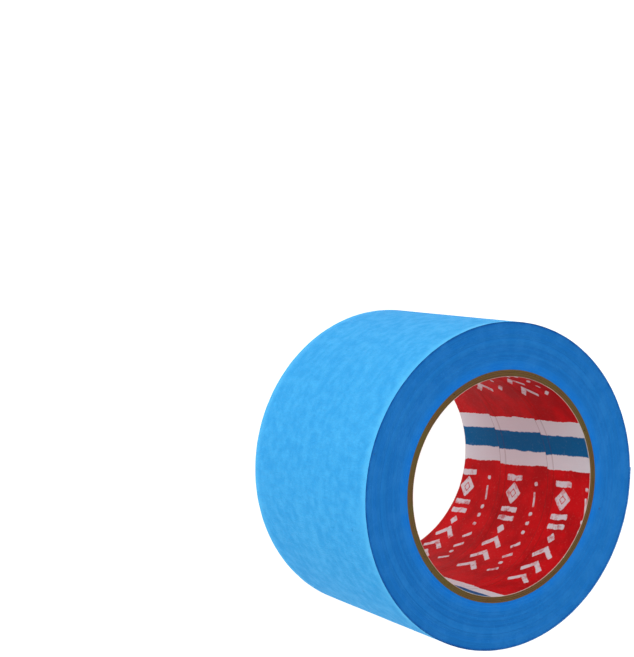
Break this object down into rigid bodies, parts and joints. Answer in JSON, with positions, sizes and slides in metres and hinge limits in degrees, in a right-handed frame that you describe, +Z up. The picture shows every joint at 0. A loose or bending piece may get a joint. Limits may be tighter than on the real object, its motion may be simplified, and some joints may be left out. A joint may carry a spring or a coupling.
{
  "type": "masking tape roll",
  "caption": "Wide roll of blue crepe masking tape wound on a printed paper core, lying flat, with a free end that peels off the outer turn.",
  "frame": {"origin": "centre of the bottom end face, on the roll's axis", "axes": "+Z up along the roll's axis; the free end of the tape is on the +Y side"},
  "size_m": [0.1138, 0.1139, 0.075],
  "materials": {
    "printed_liner": "satin",
    "core_board": "matte",
    "tape_edge": "matte",
    "tape_back": "matte"
  },
  "bodies": {
    "roll": {"core_liner": "printed_liner", "core_ply_1": "core_board", "core_ply_2": "core_board", "core_ply_3": "core_board", "core_ply_4": "core_board", "tape_pack": "tape_edge", "tape_last_turn": "tape_back"},
    "tape_end_1": {"free_end_1": "tape_back"},
    "tape_end_2": {"free_end_2": "tape_back"},
    "tape_end_3": {"free_end_3": "tape_back"},
    "tape_end_4": {"free_end_4": "tape_back"}
  },
  "joints": [
    {"name": "peel", "type": "hinge", "parent": "roll", "child": "tape_end_1", "pos_m": [0.01779, 0.05415, 0.0375], "axis": [0, 0, -1], "range_deg": [0, 90]},
    {"name": "straighten_2", "type": "hinge", "parent": "tape_end_1", "child": "tape_end_2", "pos_m": [0.00905, 0.05627, 0.0375], "axis": [0, 0, -1], "range_deg": [0, 10.8]},
    {"name": "straighten_3", "type": "hinge", "parent": "tape_end_2", "child": "tape_end_3", "pos_m": [0.00009, 0.057, 0.0375], "axis": [0, 0, -1], "range_deg": [0, 10.8]},
    {"name": "straighten_4", "type": "hinge", "parent": "tape_end_3", "child": "tape_end_4", "pos_m": [-0.00887, 0.05631, 0.0375], "axis": [0, 0, -1], "range_deg": [0, 10.8]}
  ],
  "couplings": [
    {"joint": "straighten_2", "follows": "peel", "ratio": 0.12},
    {"joint": "straighten_3", "follows": "peel", "ratio": 0.12},
    {"joint": "straighten_4", "follows": "peel", "ratio": 0.12}
  ]
}
